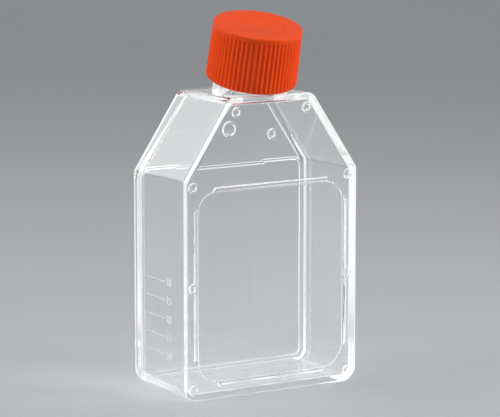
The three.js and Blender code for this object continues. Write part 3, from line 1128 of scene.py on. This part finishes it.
# %% [markdown]
# ## Orange polyethylene
#
# The cap's plastic is waxy: light goes a little way in and comes out again, which softens the
# ribs and warms thin edges. A Translucent shader would let light through as a thin sheet does,
# so subsurface scattering with a short radius is used for this thick wall. The gloss of the
# surface is satin, with slight differences in polish.

# %% A satin plastic
SATIN_SPECULAR = 0.18
SCATTER_DISTANCE = 1
COLOUR_SCALE = 160
SATIN_SCALE = 900
SATIN_SPREAD = (-0.05, 0.07)
GRAIN_SCALE = 2600
GRAIN_STRENGTH = 0.12
GRAIN_HEIGHT = 0.05


def satin_plastic(name, first, second, roughness, depth, radius):
    material, nodes, links = new_material(name)
    output = nodes.new("ShaderNodeOutputMaterial")
    plastic = nodes.new("ShaderNodeBsdfPrincipled")
    colour = blend_colours(nodes, links, noise(nodes, links, COLOUR_SCALE), first, second)
    links.new(colour, plastic.inputs["Base Color"])
    smoothest, roughest = (roughness + shift for shift in SATIN_SPREAD)
    patches = noise(nodes, links, SATIN_SCALE, detail=5)
    level = between(nodes, links, patches, smoothest, roughest)
    links.new(level, plastic.inputs["Roughness"])
    plastic.inputs["Specular IOR Level"].default_value = SATIN_SPECULAR
    plastic.inputs["Subsurface Weight"].default_value = depth
    plastic.inputs["Subsurface Radius"].default_value = radius
    plastic.inputs["Subsurface Scale"].default_value = SCATTER_DISTANCE * MM
    grain = noise(nodes, links, GRAIN_SCALE, detail=4)
    grained = bump(nodes, links, grain, GRAIN_STRENGTH, GRAIN_HEIGHT * MM)
    links.new(grained.outputs["Normal"], plastic.inputs["Normal"])
    links.new(plastic.outputs["BSDF"], output.inputs["Surface"])
    return material


# %% Orange for the cap, natural white for the seal
ORANGES = (0.88, 0.066, 0.003), (0.92, 0.08, 0.005)
ORANGE_SCATTER = (2, 0.7, 0.15)
NATURAL_WHITES = (0.82, 0.79, 0.70), (0.87, 0.85, 0.78)
WHITE_SCATTER = (1.5, 1.3, 1)

cap.data.materials.append(satin_plastic(
    "orange_polyethylene", *ORANGES, roughness=0.34, depth=0.12, radius=ORANGE_SCATTER))
seal.data.materials.append(satin_plastic(
    "natural_polyethylene", *NATURAL_WHITES, roughness=0.45, depth=0.4, radius=WHITE_SCATTER))
print("cap and seal:", cap.active_material.name, seal.active_material.name)

# %% [markdown]
# ## Put the pieces on their bodies
#
# The clear pieces stand for the flask's two CAD mouldings. The cap turns and rises, and the
# seal only rises with it, so each rides on its own body: each smooth piece gets an empty for
# its body as parent, and the CAD piece that it stands in for is hidden.

# %% Ride and replace
for piece, body, node, slot in [
    (flask_body, "flask", "flask_body", "clear_body"),
    (plate, "flask", "growth_plate", "clear_plate"),
    (seal, "seal", "plug_seal", "seal"),
    (cap, "cap", "cap", "cap"),
]:
    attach(piece, body)
    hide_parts(node)

# %% [markdown]
# ## White edges
#
# The edges and bars of a clear flask look white. Light that enters a wall is reflected inside it
# again and again, and gathers whatever is bright in the room before it leaves. A photographer
# stands white cards all round the flask for that, but cards also show as hard shapes in the flat
# panels. So the floor and the sky below are bright only for a ray that has been reflected inside
# the plastic, and Light Path counts those reflections. A straight look through a panel still
# finds the plain floor and the plain sky, from every side.

# %% How far a ray was trapped in plastic
TRAPPED_REFLECTIONS = 2


def trapped(nodes, links):
    """0 for a ray that was never reflected inside plastic, and 1 from two reflections on."""
    path = nodes.new("ShaderNodeLightPath")
    share = calculate(nodes, links, "DIVIDE", path.outputs["Glossy Depth"], TRAPPED_REFLECTIONS)
    reflected = calculate(nodes, links, "MINIMUM", share, 1)
    entered = calculate(nodes, links, "MINIMUM", path.outputs["Transmission Depth"], 1)
    return calculate(nodes, links, "MULTIPLY", reflected, entered)


# %% [markdown]
# ## The floor
#
# Clear plastic has no colour of its own: it shows what stands round it, bent at every edge. A
# pale matt floor gives it something calm to show and carries its soft shadow. A curved backdrop
# would hide the horizon, but would also show in the panels, so the floor is one flat disc, large
# enough to fill the picture. For trapped light it glows, a little more in some directions than
# in others, as a ring of cards does.

# %% The floor
FLOOR_RADIUS = 4
FLOOR_STEPS = 96

floor_ring = turned_rings([(FLOOR_RADIUS / MM, 0)], FLOOR_STEPS)[0]
floor = make_object("floor", floor_ring, [tuple(range(FLOOR_STEPS))])
print("floor:", 2 * FLOOR_RADIUS, "m across")

# %% The floor's matt surface
FLOOR_GREYS = (0.45, 0.46, 0.47), (0.48, 0.49, 0.50)
FLOOR_CLOUD_SCALE = 3
FLOOR_SPECULAR = 0.2
FLOOR_ROUGHNESS = 0.8

floor_material, nodes, links = new_material("pale_floor")
surface = nodes.new("ShaderNodeBsdfPrincipled")
shade = blend_colours(nodes, links, noise(nodes, links, FLOOR_CLOUD_SCALE), *FLOOR_GREYS)
links.new(shade, surface.inputs["Base Color"])
surface.inputs["Roughness"].default_value = FLOOR_ROUGHNESS
surface.inputs["Specular IOR Level"].default_value = FLOOR_SPECULAR
floor.data.materials.append(floor_material)

# %% The floor's glow for trapped light
GLOW_SECTORS = 7
GLOW_DIM = 0.7
GLOW_BRIGHT = 1.12

glow = nodes.new("ShaderNodeEmission")
parts = place_parts(nodes, links)
bearing = calculate(nodes, links, "ARCTAN2", parts["Y"], parts["X"])
wave = calculate(nodes, links, "SINE", calculate(nodes, links, "MULTIPLY", bearing, GLOW_SECTORS))
links.new(between(nodes, links, wave, GLOW_DIM, GLOW_BRIGHT, -1, 1), glow.inputs["Strength"])
output = nodes.new("ShaderNodeOutputMaterial")
choose = nodes.new("ShaderNodeMixShader")
links.new(trapped(nodes, links), choose.inputs["Fac"])
links.new(surface.outputs["BSDF"], choose.inputs[1])
links.new(glow.outputs["Emission"], choose.inputs[2])
links.new(choose.outputs["Shader"], output.inputs["Surface"])
floor_material.cycles.emission_sampling = "NONE"
print("floor glows", GLOW_DIM, "to", GLOW_BRIGHT, "for trapped light")

# %% [markdown]
# ## The lamps
#
# Two softboxes at the sides light the cap and leave its front a little darker, which rounds it.
# A third one stands where the left shoulder reflects it. None stands behind the cap, as its top
# would turn pale. Sun lamps would draw hard edges, so these are area lamps. Their beams are
# narrow, as from a softbox with a grid, and the floor near them stays even.

# %% Softboxes
BEAM = 60


def softbox(name, place, box_width, box_height, power):
    data = bpy.data.lights.new(name, "AREA")
    data.shape = "RECTANGLE"
    data.size = box_width
    data.size_y = box_height
    data.energy = power
    data.spread = math.radians(BEAM)
    lamp = bpy.data.objects.new(name, data)
    lamp.location = place
    lamp.rotation_euler = (Vector(place) - AIM).to_track_quat("Z", "Y").to_euler()
    bpy.context.scene.collection.objects.link(lamp)
    lamp.visible_camera = lamp.visible_transmission = False
    print(f"{name}: {box_width} x {box_height} m, {power} W")


softbox("left", (-0.85, 0.25, 0.35), box_width=0.4, box_height=0.6, power=0.68)
softbox("right", (0.62, -0.55, 0.35), box_width=0.25, box_height=0.4, power=0.7)
softbox("shoulder_light", (-0.39, 0.92, 0.47), box_width=0.4, box_height=0.4, power=0.12)

# %% [markdown]
# ## The sky
#
# The sky fills the shadows. It is brightest overhead and dim towards the horizon, so the sides of
# the cap stay deep in colour and its top is still well lit. One flat colour would be simpler, but
# it would wash out the form.

# %% The sky
ZENITH = 1.05
HORIZON = 0.25
DUSK = 0.55
TRAPPED_SKY = 1.7
SKY_TINT = (0.97, 0.985, 1)

world = bpy.data.worlds.new("studio")
bpy.context.scene.world = world
world.use_nodes = True
nodes, links = world.node_tree.nodes, world.node_tree.links
nodes.clear()
output = nodes.new("ShaderNodeOutputWorld")
light = nodes.new("ShaderNodeBackground")
light.inputs["Color"].default_value = (*SKY_TINT, 1)
place = nodes.new("ShaderNodeTexCoord")
parts = nodes.new("ShaderNodeSeparateXYZ")
links.new(place.outputs["Generated"], parts.inputs["Vector"])
dome = between(nodes, links, parts.outputs["Z"], HORIZON, ZENITH, DUSK, 1)
mix = nodes.new("ShaderNodeMix")
links.new(trapped(nodes, links), mix.inputs["Factor"])
links.new(dome, mix.inputs["A"])
mix.inputs["B"].default_value = TRAPPED_SKY
links.new(mix.outputs["Result"], light.inputs["Strength"])
links.new(light.outputs["Background"], output.inputs["Surface"])
bpy.context.scene.view_settings.view_transform = "Standard"
print("sky:", HORIZON, "at the horizon,", ZENITH, "overhead")

# %% [markdown]
# ## Enough bounces for clear walls
#
# Light that enters a thin clear wall at its edge is reflected from side to side many times
# before it leaves, as in a light guide. Cycles stops after a few reflections and paints such
# paths black, so the edges look inked. More bounces let the light out again.

# %% Let light travel along the walls
LIGHT_BOUNCES = 64

cycles = bpy.context.scene.cycles
cycles.max_bounces = cycles.glossy_bounces = cycles.transmission_bounces = LIGHT_BOUNCES
cycles.transparent_max_bounces = LIGHT_BOUNCES
print("bounces:", cycles.max_bounces)
